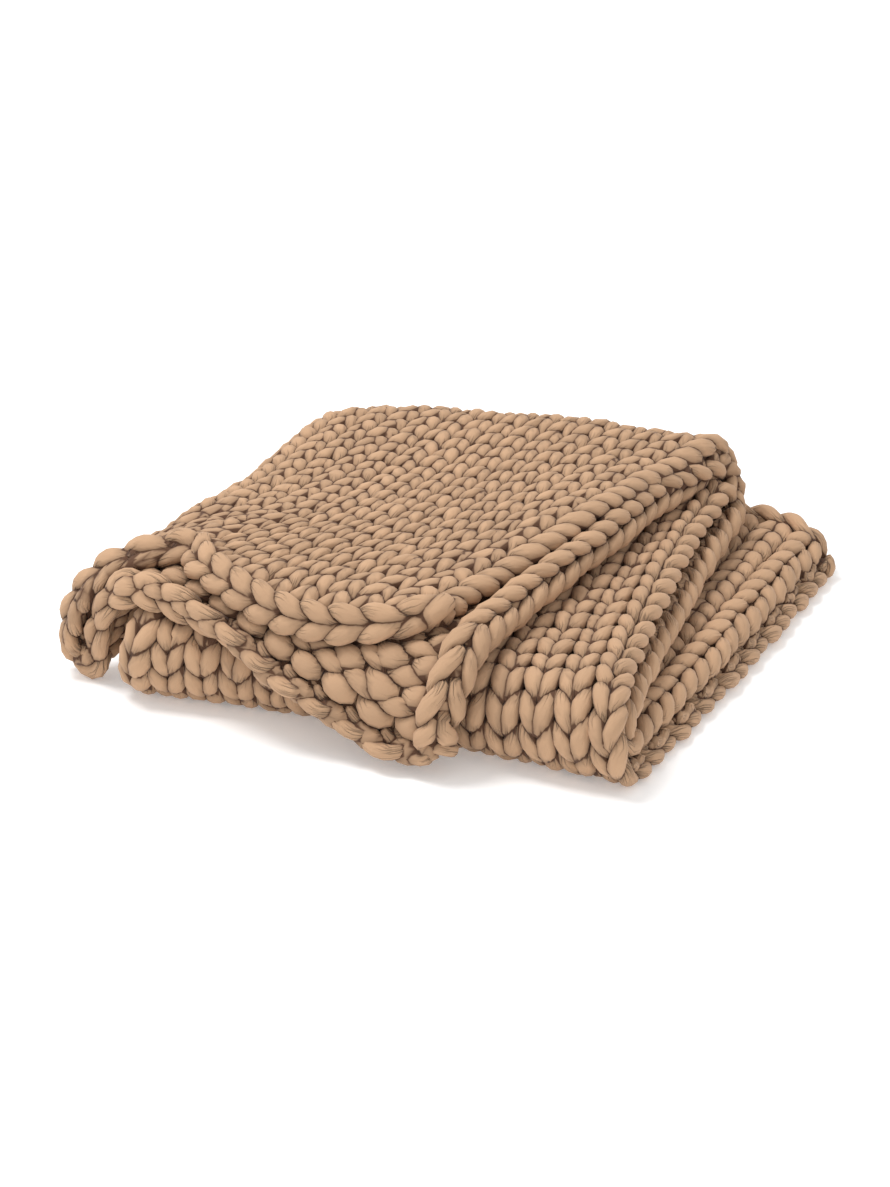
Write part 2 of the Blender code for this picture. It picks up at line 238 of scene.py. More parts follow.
# The knot round the chain beside ply A's selvedge
KNOT_WALE = WALES - 0.7
KNOT_TURN = 2.6              # radians each way
KNOT_STEPS = 25
KNOT_RADIUS = 0.0185
KNOT_OVAL = 1.25             # wider than high
KNOT_LEAD = 0.0022           # along the chain, for each radian
KNOT_WIDE = 0.0145           # half width of its yarn
KNOT_THICK = 0.0090
KNOT_WIDE_ENDS = 0.7         # shares of these where it goes under the chain
KNOT_THICK_ENDS = 0.8
KNOT_TONE = 0.01

# ---- The twist of the cast-on end --------------------------------------------
ROPE_OUT = COURSES + 0.30    # course of its middle
ROPE_LIFT = 0.010            # towards the knit side
ROPE_HALF = 0.0085           # middle of a strand from the middle of the twist
ROPE_PITCH = 1.9             # wales for a full turn
ROPE_END = 0.02              # wales from the selvedges
ROPE_TUCKED = 0.9            # wales over which the ends are tucked in
ROPE_TUCK = 0.30             # courses that they are tucked in by
ROPE_STEPS = 12              # to a wale
STRAND_WIDE = 0.0108         # half width of the yarn
STRAND_THICK = 0.0100

# ---- Where the yarn touches itself ------------------------------------------
CELL = 0.015                 # of the grid that finds neighbours
OWN_REACH = 0.024            # nearer than this along the yarn isn't a neighbour
BESIDE = 0.6                 # steps along the other yarn from its nearest ring, at most
NO_SEAM = 0.010              # the largest gap that is told apart

# ---- The yarn's finish and its painted shade ---------------------------------
YARN_COLOUR = (0.528, 0.330, 0.198)
# painted shade: the dark colour mixed in where two yarns meet
CONTACT_SHADE_COLOUR = (0.080, 0.034, 0.018)
YARN_ROUGHNESS = 0.85
YARN_SHEEN = 0.06
YARN_SPECULAR = 0.25
PATTERN_LENGTH = 0.012       # of yarn for one unit of the pattern on it
PATTERN_STEP = 13.0          # units from one tube's pattern to the next one's

# A noise's scale, its detail and how it is stretched on the yarn
Noise = namedtuple("Noise", "scale detail stretch")
CREASES = Noise(1.6, 1.0, (1.0, 1.0, 0.20))
SWELLS = Noise(1.1, 2.0, (1.0, 1.0, 0.45))
RIBS = Noise(9.0, 1.0, (1.0, 1.0, 0.5))
CLOUDS = Noise(9.0, 2.0, (1.0, 1.0, 1.0))
CREASE_FINE = 18.0           # the more, the thinner
CREASE_POWER = 1.2           # the more, the closer to the pinches
SWELL_HEIGHT = 1.1           # in depths of a crease
RIB_HEIGHT = 0.12
BUMP_STRENGTH = 0.95
BUMP_DISTANCE = 0.0022
PLAIN_VALUE = 0.93           # brightness of a leg that shows no crease
CLOUD_VALUE = 0.16           # how far it wanders over the whole cloth
# painted shade in the creases
CREASE_PAINTED_SHADE = 0.22
HEAD_DARKER = 0.06
HOLLOW_NARROW = 1.5          # of the shade beside another yarn: the more, the narrower
HOLLOW_DARKER = 0.35
# painted shade along the lines where two yarns meet
CONTACT_SHADE_NARROW = 5.6            # the same for the line where two yarns meet
CONTACT_SHADE_DARKER = 0.90

# ---- The studio --------------------------------------------------------------
FLOOR_SIZE = 60.0
FLOOR_COLOUR = (0.90, 0.90, 0.90)
# the floor's glow is painted light: it brightens the floor and its shadows and lights the blanket
# from below
FLOOR_PAINTED_GLOW = 0.22
WHITE = (1.0, 1.0, 1.0)
WORLD_LIGHT = 0.80
Lamp = namedtuple("Lamp", "name place size power")
LAMPS = [Lamp("key", (-1.2, -0.3, 3.3), 1.6, 84.0), Lamp("fill", (2.6, -2.4, 2.0), 2.0, 6.0)]
LAMP_TARGET = (0, 0, 0.1)
CAMERA_TURN = math.radians(21)
CAMERA_RISE = math.radians(25)
CAMERA_FAR = 4.5
CAMERA_TARGET = (ORIGIN_SHIFT[0], ORIGIN_SHIFT[1], 0.09)
CAMERA_HEIGHT = 36.0         # of the film, in millimetres
CAMERA_LENS = 102.36         # millimetres


def curve(points, x, column=1):
    """Smooth reading of a short table at x, through every row."""
    table = np.array(points, float)
    knots = table[:, 0]
    values = table[:, column]
    slopes = np.gradient(values, knots)
    x = min(max(x, knots[0]), knots[-1])
    row = min(int(np.searchsorted(knots, x, side="right")) - 1, len(knots) - 2)
    width = knots[row + 1] - knots[row]
    t = (x - knots[row]) / width
    start = (2 * t**3 - 3 * t**2 + 1) * values[row]
    end = (3 * t**2 - 2 * t**3) * values[row + 1]
    start_slope = (t**3 - 2 * t**2 + t) * width * slopes[row]
    end_slope = (t**3 - t**2) * width * slopes[row + 1]
    return float(start + end + start_slope + end_slope)


def rounded(points, steps=10):
    """A fine Catmull-Rom line through a table's points."""
    table = np.array(points, float)
    ends = np.vstack([table[:1], table, table[-1:]])
    line = []
    for p0, p1, p2, p3 in zip(ends, ends[1:], ends[2:], ends[3:]):
        for t in np.linspace(0, 1, steps, endpoint=False):
            line.append(0.5 * (2 * p1 + (p2 - p0) * t + (2 * p0 - 5 * p1 + 4 * p2 - p3) * t**2
                               + (3 * p1 - p0 - 3 * p2 + p3) * t**3))
    line.append(table[-1])
    return np.array(line)


def distances(path):
    """Length along a path to each of its points."""
    steps = np.linalg.norm(np.diff(path, axis=0), axis=1)
    return np.concatenate([[0.0], np.cumsum(steps)])


def evenly(path, count):
    """The same path with count points, evenly apart."""
    along = distances(path)
    wanted = np.linspace(0, along[-1], count)
    return np.stack([np.interp(wanted, along, path[:, k]) for k in range(3)], axis=1)


def fold_section(share, left, right, ply):
    """Place of a column in a layer's cross-section: x, and height over its middle."""
    quarter = math.pi / 2 * HALF_PITCH
    arc = share * (quarter + right - left - HALF_PITCH)
    if arc < quarter:
        angle = arc / HALF_PITCH
        return left + HALF_PITCH * (1 - math.cos(angle)), ply * HALF_PITCH * math.sin(angle)
    return left + HALF_PITCH + arc - quarter, ply * HALF_PITCH


def loop_section(share, right, ply, loop):
    """The same for the open loop at the bound-off end."""
    line = rounded(loop.ply_a if ply == PLY_A else loop.ply_b)
    along = distances(line)
    arc = share * (along[-1] + right - line[-1][0])
    if arc > along[-1]:
        return line[-1][0] + arc - along[-1], line[-1][1] - TOP_Z
    x, z = (float(np.interp(arc, along, line[:, k])) for k in (0, 1))
    return x, z - TOP_Z


def layer_ends(layer, share, ply):
    """A column's cross-section at the start and the end of a layer."""
    if ply == PLY_A:
        right_start, right_end, bow = layer.a_start, layer.a_end, layer.bow_a
    else:
        right_start, right_end, bow = layer.b_start, layer.b_end, layer.bow_b
    start = fold_section(share, layer.left_start, right_start, ply)
    end = fold_section(share, layer.left_end, right_end, ply)
    return start, end, bow * share**3


def ridge(share, ply, from_edge):
    """Lift of the middle layer's upper ply beside its selvedge."""
    if ply == PLY_A:
        return 0.0
    return RIDGE_LIFT * math.exp(-((from_edge - RIDGE_INSET) / RIDGE_WIDTH) ** 2) * share


def top_columns(share, ply):
    """A column's cross-sections in the top layer, and the loop's offsets from them."""
    start, end, bow = layer_ends(TOP, share, ply)
    right = TOP.a_start if ply == PLY_A else TOP.b_start
    sideways, upwards = [], []
    for loop in LOOPS:
        x, h = loop_section(share, right, ply, loop)
        sideways.append((loop.along, x - start[0]))
        upwards.append((loop.along, h - start[1]))
    closed = [(LOOP_END, 0.0), (1.0, 0.0)]
    return start, end, bow, sideways + closed, upwards + closed


def top_point(columns, along):
    """A point of the top layer, along = 0 at its front line and 1 at the back fold."""
    (x0, h0), (x1, h1), bow, sideways, upwards = columns
    x = x0 + (x1 - x0) * along + bow * math.sin(math.pi * along)
    height = h0 + (h1 - h0) * along
    if along < LOOP_END:
        x += curve(sideways, along)
        height += curve(upwards, along)
    y0 = curve(TOP_FRONT_LINE, x0)
    y1 = curve(BACK_FOLD_LINE, x1)
    return x, y0 + (y1 - y0) * along, TOP_Z + height


def over_shoulder(radius, run):
    """How far cloth that runs on over the front fold goes forwards and down."""
    quarter = radius * math.pi / 2
    if run <= quarter:
        return radius * math.sin(run / radius), radius * (1 - math.cos(run / radius))
    return radius + HANG_FLARE * max(0.0, run - quarter - FLARE_START), radius + run - quarter


def front_part(share, ply, steps=40):
    """The bound-off end of a column, up to the plain part of the top layer."""
    columns = top_columns(share, ply)
    x, y, z = top_point(columns, 0.0)
    run = curve(OVERRUNS, x, 1 if ply == PLY_A else 2)
    radius = SHOULDER_A if ply == PLY_A else SHOULDER_B
    flat_z = TOP_Z + ply * HALF_PITCH
    hang = 1 - min(1.0, max(0.0, (flat_z - z) / HANG_FADE))
    path = []
    if run > 0:
        for step in np.linspace(run, 0.0, steps)[:-1]:
            forwards, down = over_shoulder(radius, step)
            forwards = forwards * hang + step * (1 - hang)
            path.append((x + HANG_LEAN * step, y - forwards, z - down * hang))
    short = max(0.0, -run) / TOP_LENGTH
    for along in np.linspace(short, FRONT_PART, steps):
        path.append(top_point(columns, along))
    return np.array(path)


def top_part(share, ply, steps=20):
    """The rest of a column's run through the top layer."""
    columns = top_columns(share, ply)
    return np.array([top_point(columns, along) for along in np.linspace(FRONT_PART, 1.0, steps)])


def fold_part(share, ply, before, after, line, centre_z, forwards, steps=30):
    """A column's half turn about a fold line."""
    (_, _), (x0, h0), _ = layer_ends(before, share, ply)
    (x1, h1), (_, _), _ = layer_ends(after, share, ply)
    path = []
    for turn in np.linspace(0, 1, steps):
        angle = math.pi * (0.5 - turn)
        x = x0 + (x1 - x0) * turn
        height = h0 + (h1 - h0) * turn
        radius = FOLD_RADIUS + (height if forwards < 0 else -height)
        y = curve(line, x) - forwards * radius * math.cos(angle)
        path.append((x, y, centre_z + radius * math.sin(angle)))
    return np.array(path)


def flat_part(share, ply, layer, start_line, end_line, layer_z, up, steps=20):
    """A column's run through the middle or the low layer."""
    (x0, h0), (x1, h1), bow = layer_ends(layer, share, ply)
    path = []
    for along in np.linspace(0, 1, steps):
        x = x0 + (x1 - x0) * along + bow * math.sin(math.pi * along)
        y = curve(start_line, x0) * (1 - along) + curve(end_line, x1) * along
        z = layer_z + up * (h0 + (h1 - h0) * along)
        if layer is MIDDLE:
            right = layer.b_start + (layer.b_end - layer.b_start) * along
            z += ridge(share, ply, right - x + bow * math.sin(math.pi * along))
        path.append((x, y, z))
    return np.array(path)


def column(share, ply):
    """One column of the cloth, bound-off end first, as its six parts."""
    return {
        "front": front_part(share, ply),
        "top": top_part(share, ply),
        "back": fold_part(share, ply, TOP, MIDDLE, BACK_FOLD_LINE, BACK_FOLD_Z, -1),
        "middle": flat_part(share, ply, MIDDLE, BACK_FOLD_LINE, FRONT_FOLD_LINE, MIDDLE_Z, -1),
        "turn": fold_part(share, ply, MIDDLE, LOW, FRONT_FOLD_LINE, FRONT_FOLD_Z, 1),
        "low": flat_part(share, ply, LOW, FRONT_FOLD_LINE, LOW_END_LINE, LOW_Z, 1),
    }


def uneven(path):
    """The path with the slight waves of the layers under it."""
    x, y, z = path.T
    share = np.clip(z / WAVE_TOP, 0, 1)
    rise = sum(w.rise * np.sin(w.per_x * x + w.per_y * y + w.start) for w in WAVES)
    sway = SWAY.rise * np.sin(SWAY.per_y * y + SWAY.start)
    return np.stack([x + sway * share, y, z + rise * share], axis=1)


def cloth_grid():
    """Evenly spaced points on the cloth's middle, smoothed a little."""
    shares = np.linspace(0, 1, GRID_COLUMNS // 2 + 1)
    sides = [(share, PLY_B) for share in shares[::-1]] + [(share, PLY_A) for share in shares[1:]]
    columns = []
    for share, ply in sides:
        path = np.vstack(list(column(share, ply).values()))
        columns.append(evenly(uneven(path), GRID_ROWS + 1))
    grid = np.array(columns)
    for _ in range(SMOOTH_ALONG):
        grid[:, 1:-1] = (grid[:, :-2] + 2 * grid[:, 1:-1] + grid[:, 2:]) / 4
    for _ in range(SMOOTH_ACROSS):
        grid[1:-1] = (grid[:-2] + 2 * grid[1:-1] + grid[2:]) / 4
    curled = grid.copy()
    roll_selvedge(curled, grid, 1)
    roll_selvedge(curled[::-1], grid[::-1], -1)
    return curled + np.array(ORIGIN_SHIFT)


def roll_selvedge(curled, grid, side):
    """Rolls the last columns of the grid over; side is 1 at ply A's selvedge, -1 at ply B's."""
    courses = np.linspace(0, COURSES, grid.shape[1])[:, None]

    def reading(name):
        return np.interp(courses, [roll.course for roll in ROLLS],
                         [getattr(roll, name) for roll in ROLLS])

    if side > 0:
        start, radius = reading("start_a"), reading("radius_a")
        stretch, shift = np.ones_like(courses), np.zeros_like(courses)
    else:
        start, radius = reading("start_b"), reading("radius_b")
        stretch, shift = reading("stretch_b"), reading("shift_b")
    base = grid[-1 - CURL_STEPS]
    outwards = unit(base - grid[-3 - CURL_STEPS])
    down = unit(np.cross(np.gradient(base, axis=0), outwards)) * side
    for step in range(SHIFTED_STEPS + 1):
        row = -1 - CURL_STEPS - step
        curled[row] = grid[row] + outwards * shift * (1 - step / SHIFTED_STEPS) ** SHIFT_FADE
    place = curled[-1 - CURL_STEPS]
    before = np.zeros_like(courses)
    for step in range(1, CURL_STEPS + 1):
        row = -1 - CURL_STEPS + step
        length = np.linalg.norm(grid[row] - base, axis=1, keepdims=True) * stretch
        angle = np.clip((length + before) / 2 - start, 0, None) / radius
        place = place + (length - before) * (outwards * np.cos(angle) + down * np.sin(angle))
        curled[row] = place
        before = length


def unit(vectors):
    """The same directions, one long."""
    return vectors / np.linalg.norm(vectors, axis=-1, keepdims=True)


class Surface:
    """Smooth reading of the cloth's middle at course u and wale v, and a little past it."""

    def __init__(self, grid):
        for axis in (0, 1):
            grid = np.moveaxis(grid, axis, 0)
            steps = np.arange(MARGIN, 0, -1).reshape(-1, 1, 1)
            before = grid[0] + steps * (grid[0] - grid[2]) / 2
            after = grid[-1] + steps[::-1] * (grid[-1] - grid[-3]) / 2
            grid = np.moveaxis(np.concatenate([before, grid, after]), 0, axis)
        self.grid = grid

    def at(self, u, v):
        """Position, by cubic interpolation between the grid's points."""
        u = u + BOUND_OFF_IN * np.exp(-np.maximum(u, -1.0) / BOUND_OFF_FADE)
        row = np.clip(u / COURSES * GRID_ROWS + MARGIN, 1, self.grid.shape[1] - 2.001)
        col = np.clip(v / WALES * GRID_COLUMNS + MARGIN, 1, self.grid.shape[0] - 2.001)
        r0 = np.floor(row).astype(int)
        c0 = np.floor(col).astype(int)
        rows = self.weights(row - r0)
        cols = self.weights(col - c0)
        total = np.zeros(np.shape(row) + (3,))
        for i in range(4):
            for j in range(4):
                share = (cols[i] * rows[j])[..., None]
                total += share * self.grid[c0 + i - 1, r0 + j - 1]
        return total

    @staticmethod
    def weights(t):
        """Shares of the four points round a place, t past the second of them."""
        return ((-t**3 + 2 * t**2 - t) / 2, (3 * t**3 - 5 * t**2 + 2) / 2,
                (-3 * t**3 + 4 * t**2 + t) / 2, (t**3 - t**2) / 2)

    def frame(self, u, v, ahead=0.3, aside=0.18):
        """Position, one course along, one wale across, and the normal on the knit side."""
        along = (self.at(u + ahead, v) - self.at(u - ahead, v)) / (2 * ahead)
        across = (self.at(u, v + aside) - self.at(u, v - aside)) / (2 * aside)
        return self.at(u, v), along, across, unit(np.cross(across, along))


class Irregular:
    """A small random value for each leg of each stitch, read smoothly between them."""

    def __init__(self, rng, spread):
        draws = rng.normal(0, 1, (COURSES + 2, 2 * WALES))
        self.table = np.clip(draws, -SPREAD_LIMIT, SPREAD_LIMIT) * spread

    def at(self, course, v):
        """The value at wale v of a course."""
        legs = np.arange(2 * WALES) / 2 + 0.25
        return np.interp(v, legs, self.table[int(course)])


# leg is 1 in the middle of a leg and 0 at a head or foot; tone is its own brightness.
Tube = namedtuple("Tube", "rings path across up leg tone")


def tube_round(path, normals, wide, thick, sides, leg, tone, roll=None):
    """Flattened tube round a path; wide and thick are its half axes."""
    tangent = unit(np.gradient(path, axis=0))
    across = unit(np.cross(tangent, normals))
    up = np.cross(across, tangent)
    if roll is not None:
        cos, sin = np.cos(roll[:, None]), np.sin(roll[:, None])
        across, up = across * cos + up * sin, up * cos - across * sin
    across = across * wide[:, None]
    up = up * thick[:, None]
    angle = (np.arange(sides) * 2 * math.pi / sides)[:, None]
    rings = path[:, None] + across[:, None] * np.cos(angle) + up[:, None] * np.sin(angle)
    return Tube(rings, path, across, up, leg, tone)


def cell_keys(points, low, counts):
    """Number of the cell that each point lies in."""
    cells = np.floor((points - low) / CELL).astype(np.int64)
    return (cells[:, 0] * counts[1] + cells[:, 1]) * counts[2] + cells[:, 2]


def seam_gaps(tubes):
    """For each tube, how far each of its ring points is outside the nearest other yarn."""
    centre = np.concatenate([tube.path for tube in tubes])
    across = np.concatenate([tube.across for tube in tubes])
    up = np.concatenate([tube.up for tube in tubes])
    tangent = np.concatenate([np.gradient(tube.path, axis=0) for tube in tubes])
    step = np.linalg.norm(tangent, axis=1)
    wide2 = (across**2).sum(1)
    thick2 = (up**2).sum(1)
    radius = (wide2 * thick2) ** 0.25
    number = np.concatenate([np.full(len(tube.path), k) for k, tube in enumerate(tubes)])
    along = np.concatenate([distances(tube.path) for tube in tubes])
    low = centre.min(axis=0) - 3 * CELL
    counts = np.ceil((centre.max(axis=0) + 3 * CELL - low) / CELL).astype(np.int64) + 1
    keys = cell_keys(centre, low, counts)
    order = np.argsort(keys, kind="stable")
    keys = keys[order]
    fields = [part[order] for part in (centre, across / wide2[:, None], up / thick2[:, None],
                                       tangent / step[:, None] ** 2, radius, number, along)]
    offsets = [(a * counts[1] + b) * counts[2] + c
               for a in (-1, 0, 1) for b in (-1, 0, 1) for c in (-1, 0, 1)]
    fine = [k for k, tube in enumerate(tubes) if tube.rings.shape[1] == FINE[0]]
    points = np.concatenate([tubes[k].rings.reshape(-1, 3) for k in fine])
    owner = np.concatenate([np.full(tubes[k].rings.shape[0] * FINE[0], k) for k in fine])
    reach = np.concatenate([np.repeat(distances(tubes[k].path), FINE[0]) for k in fine])
    here = cell_keys(points, low, counts)
    gap = np.full(len(points), NO_SEAM)
    for offset in offsets:
        first = np.searchsorted(keys, here + offset, "left")
        count = np.searchsorted(keys, here + offset, "right") - first
        for k in range(int(count.max())):
            rows = np.flatnonzero(count > k)
            found = first[rows] + k
            q, a, n, t, r, who, arc = (field[found] for field in fields)
            away = points[rows] - q
            beside = np.abs((away * t).sum(1)) < BESIDE
            other = (who != owner[rows]) | (np.abs(arc - reach[rows]) > OWN_REACH)
            outside = (np.sqrt((away * a).sum(1) ** 2 + (away * n).sum(1) ** 2) - 1) * r
            outside[~(beside & other)] = NO_SEAM
            gap[rows] = np.minimum(gap[rows], outside)
    gaps = [np.full(tube.rings.shape[:2], NO_SEAM) for tube in tubes]
    start = 0
    for k in fine:
        size = gaps[k].size
        gaps[k] = gap[start:start + size].reshape(gaps[k].shape)
        start += size
    return gaps


def tube_mesh(name, tubes, gaps, material):
    """One mesh of closed tubes, with what the yarn's material reads at each vertex."""
    points, quads, caps = [], [], []
    yarn, legs, tones = [], [], []
    start = 0
    for tube in tubes:
        count, sides, _ = tube.rings.shape
        points.append(tube.rings.reshape(-1, 3))
        index = start + np.arange(count * sides).reshape(count, sides)
        here, after = index[:-1], index[1:]
        quads.append(np.stack([here, np.roll(here, -1, axis=1), np.roll(after, -1, axis=1), after],
                              axis=-1).reshape(-1, 4))
        caps.append(index[0][::-1])
        caps.append(index[-1])
        start += count * sides
        along = distances(tube.rings.mean(axis=1))[:, None] / PATTERN_LENGTH
        angle = np.arange(sides) * 2 * math.pi / sides
        pattern = np.empty((count, sides, 3))
        pattern[..., 0] = np.cos(angle)
        pattern[..., 1] = np.sin(angle)
        pattern[..., 2] = along + PATTERN_STEP * len(points)
        yarn.append(pattern.reshape(-1, 3))     # round the yarn, and along it
        legs.append(np.repeat(tube.leg, sides))
        tones.append(np.repeat(tube.tone, sides))
    points = np.concatenate(points)
    points[:, 2] = np.maximum(points[:, 2], 0.0)
    quads = np.concatenate(quads)
    corners = np.concatenate([quads.ravel()] + caps)
    sizes = np.concatenate([np.full(len(quads), 4), [len(cap) for cap in caps]])
    starts = np.concatenate([[0], np.cumsum(sizes)[:-1]])
    mesh = bpy.data.meshes.new(name)
    mesh.vertices.add(len(points))
    mesh.vertices.foreach_set("co", points.astype(np.float32).ravel())
    mesh.loops.add(len(corners))
    mesh.loops.foreach_set("vertex_index", corners.astype(np.int32))
    mesh.polygons.add(len(sizes))
    mesh.polygons.foreach_set("loop_start", starts.astype(np.int32))
    mesh.update(calc_edges=True)
    mesh.shade_smooth()
    attribute = mesh.attributes.new("yarn", "FLOAT_VECTOR", "POINT")
    attribute.data.foreach_set("vector", np.concatenate(yarn).astype(np.float32).ravel())
    # the gap to the nearest other yarn, which the material turns into painted shade
    seams = np.concatenate([gap.ravel() for gap in gaps]) / NO_SEAM
    for label, values in (("leg", np.concatenate(legs)), ("tone", np.concatenate(tones)),
                          ("gap", seams)):
        attribute = mesh.attributes.new(label, "FLOAT", "POINT")
        attribute.data.foreach_set("value", values.astype(np.float32))
    mesh.materials.append(material)
    return mesh


def yarn_size(t):
    """Width of the yarn along a stitch: leaf-shaped legs, round heads and smaller feet."""
    leg = (1 - np.cos(2 * t)) / 2
    ends = np.where(np.cos(t) > 0, HEAD_SIZE, FOOT_SIZE)
    return leg + (1 - leg) * ends - YARN_PINCH * (4 * leg * (1 - leg)) ** PINCH_POWER


def knit_run(surface, course, first, last, detail, random):
    """Tube of the stitches first to last - 1 of one course."""
    sides, segments = detail
    t = np.linspace(-math.pi, math.pi * (2 * (last - first) - 1), (last - first) * segments + 1)
    v_even = first + (t + math.pi) / (2 * math.pi)
    edge = np.clip((1.0 - np.minimum(v_even, WALES - v_even)) / EDGE_FADE, 0, 1)
    spread = LOOP_SPREAD * (1 + random["spread"].at(course, v_even)) * (1 - EDGE_STRAIGHT * edge)
    reach = LOOP_REACH * (1 + random["reach"].at(course, v_even))
    if course == 0:
        reach = reach * np.where(np.cos(t) > 0, 1 - EDGE_SHORT * edge, 1)
    v = (v_even + spread * np.sin(2 * t) - LOOP_PAIR * np.sin(t)
         + random["aside"].at(course, v_even))
    u = (course + 0.5 - reach * np.cos(t) + LOOP_STEEP * np.cos(3 * t)
         + random["ahead"].at(course, v_even))
    leg = (1 - np.cos(2 * t)) / 2
    lift = LOOP_RELIEF * (2 * leg - 1) + random["lift"].at(course, v_even)
    place, _, across, normal = surface.frame(u, v)
    path = place + normal * lift[:, None]
    wale = np.clip(np.linalg.norm(across, axis=-1) / USUAL_WALE, *WALE_RANGE)
    smaller = np.where(v_even > WALES / 2, EDGE_SMALLER_A, EDGE_SMALLER_B) * edge
    size = wale**WALE_POWER * (1 + random["size"].at(course, v_even) - smaller)
    rounded_end = np.ones(len(t))
    if first == 0:
        rounded_end[:2] = RUN_ENDS
    if last == WALES:
        rounded_end[-2:] = RUN_ENDS[::-1]
    pinched = yarn_size(t)
    wide = YARN_WIDE * size * pinched * rounded_end
    thick = YARN_THICK * np.sqrt(size) * (YARN_EVEN + (1 - YARN_EVEN) * pinched) * rounded_end
    return tube_round(path, normal, wide, thick, sides, leg, random["tone"].at(course, v_even),
                      random["roll"].at(course, v_even))


def selvedge_turn(surface, course, right, detail, random):
    """Tube of the yarn's turn from one course into the next, rolled in at a selvedge."""
    edge = WALES if right else 0
    out = 1 if right else -1
    foot = 0.5 + LOOP_REACH - LOOP_STEEP
    knots = [(foot + knot.course + course, edge + out * knot.wale, knot.relief * -LOOP_RELIEF)
             for knot in TURN_KNOTS]
    line = rounded(knots, TURN_STEPS)
    place, _, _, normal = surface.frame(line[:, 0], line[:, 1])
    path = place + normal * line[:, 2:3]
    leg = np.sin(np.linspace(0, math.pi, len(line)))
    tone = np.full(len(line), random["tone"].at(course, edge))
    wide = YARN_WIDE * (FOOT_SIZE - TURN_NARROWER * leg)
    thick = YARN_THICK * (TURN_THICK - TURN_THINNER * leg)
    return tube_round(path, normal, wide, thick, detail[0], leg, tone)


def chain_frame(surface, v):
    """Middle of the bound-off chain with its face, sideways and lengthways directions."""
    wales, courses, degrees = zip(*CHAIN_TURNS)
    place, along, across, normal = surface.frame(np.interp(v, wales, courses), v)
    outwards = unit(-along)
    turn = np.radians(np.interp(v, wales, degrees))[:, None]
    face = normal * np.cos(turn) + outwards * np.sin(turn)
    side = outwards * np.cos(turn) - normal * np.sin(turn)
    return place, face, side, unit(across)


def between(ends, leg):
    """ends where leg is 0, 1 where it is 1."""
    return ends + (1 - ends) * leg


def chain_link(surface, link, detail, random):
    """Tube of one link of the bound-off chain."""
    t = np.linspace(-math.pi, math.pi, LINK_STEPS)
    first, last = CHAIN_ENDS
    v = first + (link + 0.5 - CHAIN_REACH * np.cos(t)) * (last - first) / WALES
    aside = (CHAIN_HALF * (np.sin(t) + CHAIN_SLANT * np.sin(2 * t))
             * (1 + random["spread"].at(0, link)))
    leg = (1 - np.cos(2 * t)) / 2
    lift = CHAIN_RELIEF * (2 * leg - 1 + CHAIN_HEADS * np.cos(t))
    place, face, side, _ = chain_frame(surface, v)
    path = place + side * aside[:, None] + face * lift[:, None]
    wide = LINK_WIDE * between(LINK_WIDE_ENDS, leg) * (1 + random["size"].at(0, link))
    thick = LINK_THICK * between(LINK_THICK_ENDS, leg)
    tone = np.full(len(t), random["tone"].at(0, link + LINK_TONE))
    return tube_round(path, face, wide, thick, detail[0], leg, tone)


def corner_knot(surface, detail):
    """Tube of the yarn tied round the chain near its end."""
    turn = np.linspace(-KNOT_TURN, KNOT_TURN, KNOT_STEPS)
    middle = chain_frame(surface, np.array([KNOT_WALE]))
    place, face, side, lengthways = (part[0] for part in middle)
    path = (place + np.outer(np.cos(turn), face) * KNOT_RADIUS
            + np.outer(np.sin(turn), side) * KNOT_RADIUS * KNOT_OVAL
            + np.outer(turn, lengthways) * KNOT_LEAD)
    leg = np.cos(turn / 2) ** 2
    wide = KNOT_WIDE * between(KNOT_WIDE_ENDS, leg)
    thick = KNOT_THICK * between(KNOT_THICK_ENDS, leg)
    tone = np.full(len(turn), KNOT_TONE)
    return tube_round(path, unit(path - place), wide, thick, detail[0], leg, tone)


def rope_strand(surface, strand, detail, random):
    """Tube of one of the two strands of the cast-on edge, tucked in at the selvedges."""
    v = np.linspace(ROPE_END, WALES - ROPE_END, WALES * ROPE_STEPS)
    inwards = np.clip(np.minimum(v, WALES - v) / ROPE_TUCKED, 0, 1)
    angle = 2 * math.pi * v / ROPE_PITCH + math.pi * strand
    place, along, _, normal = surface.frame(ROPE_OUT - ROPE_TUCK * (1 - inwards) ** 2, v)
    outwards = unit(along)
    path = (place + normal * ROPE_LIFT * inwards[:, None]
            + ROPE_HALF * (outwards * np.cos(angle)[:, None] + normal * np.sin(angle)[:, None]))
    leg = (1 + np.sin(angle)) / 2
    wide = np.full(len(v), STRAND_WIDE)
    thick = np.full(len(v), STRAND_THICK)
    tone = np.array([random["tone"].at(COURSES, x) for x in v])
    return tube_round(path, normal, wide, thick, detail[0], leg, tone)


